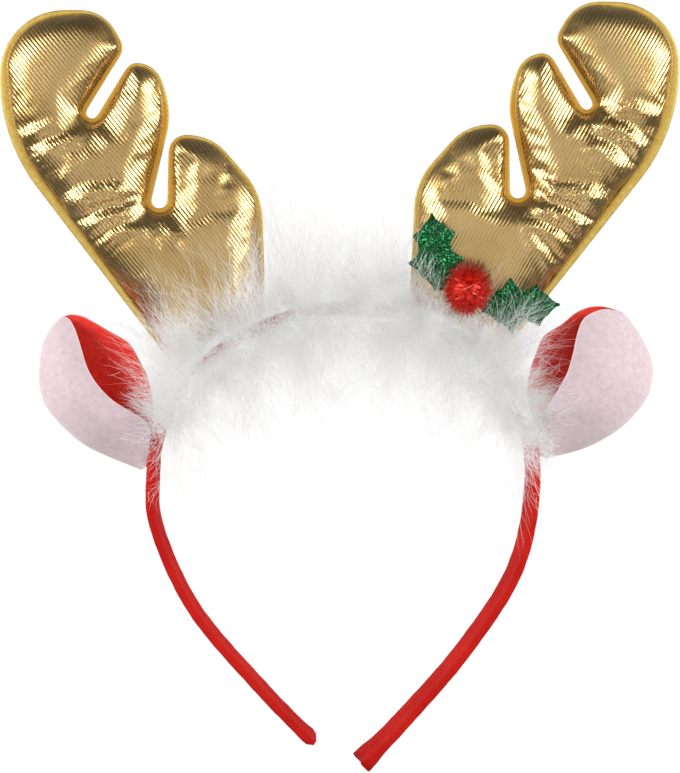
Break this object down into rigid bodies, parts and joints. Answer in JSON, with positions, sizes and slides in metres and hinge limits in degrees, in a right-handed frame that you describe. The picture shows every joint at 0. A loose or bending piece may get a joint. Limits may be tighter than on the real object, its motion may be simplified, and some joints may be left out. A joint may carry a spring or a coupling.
{
  "type": "reindeer antler headband",
  "caption": "Costume alice band with stuffed gold lamé antlers, cupped felt ears, white feather trim and a holly and pompom sprig, worn over the crown of the head.",
  "frame": {"origin": "middle of the bounding box, on the surface that the headband lies on", "axes": "+Z out of the front of the band, +Y from the band's tips to the antlers, +X to the side with the holly"},
  "size_m": [0.2191, 0.2479, 0.034],
  "materials": {
    "satin_red": "satin ribbon",
    "lame_gold": "ribbed metallic lamé",
    "felt_pink": "brushed felt",
    "felt_red": "brushed felt",
    "marabou_white": "fluffy down",
    "glitter_green": "glitter on felt",
    "tinsel_red": "metallised film strands"
  },
  "bodies": {
    "root": {"headband": "satin_red", "antler_left": "lame_gold", "antler_right": "lame_gold", "ear_left_shell": "felt_pink", "ear_left_lining": "felt_red", "ear_right_shell": "felt_pink", "ear_right_lining": "felt_red", "feather_boa": "marabou_white", "holly_leaf_upper": "glitter_green", "holly_leaf_lower": "glitter_green", "pompom": "tinsel_red"}
  },
  "joints": []
}
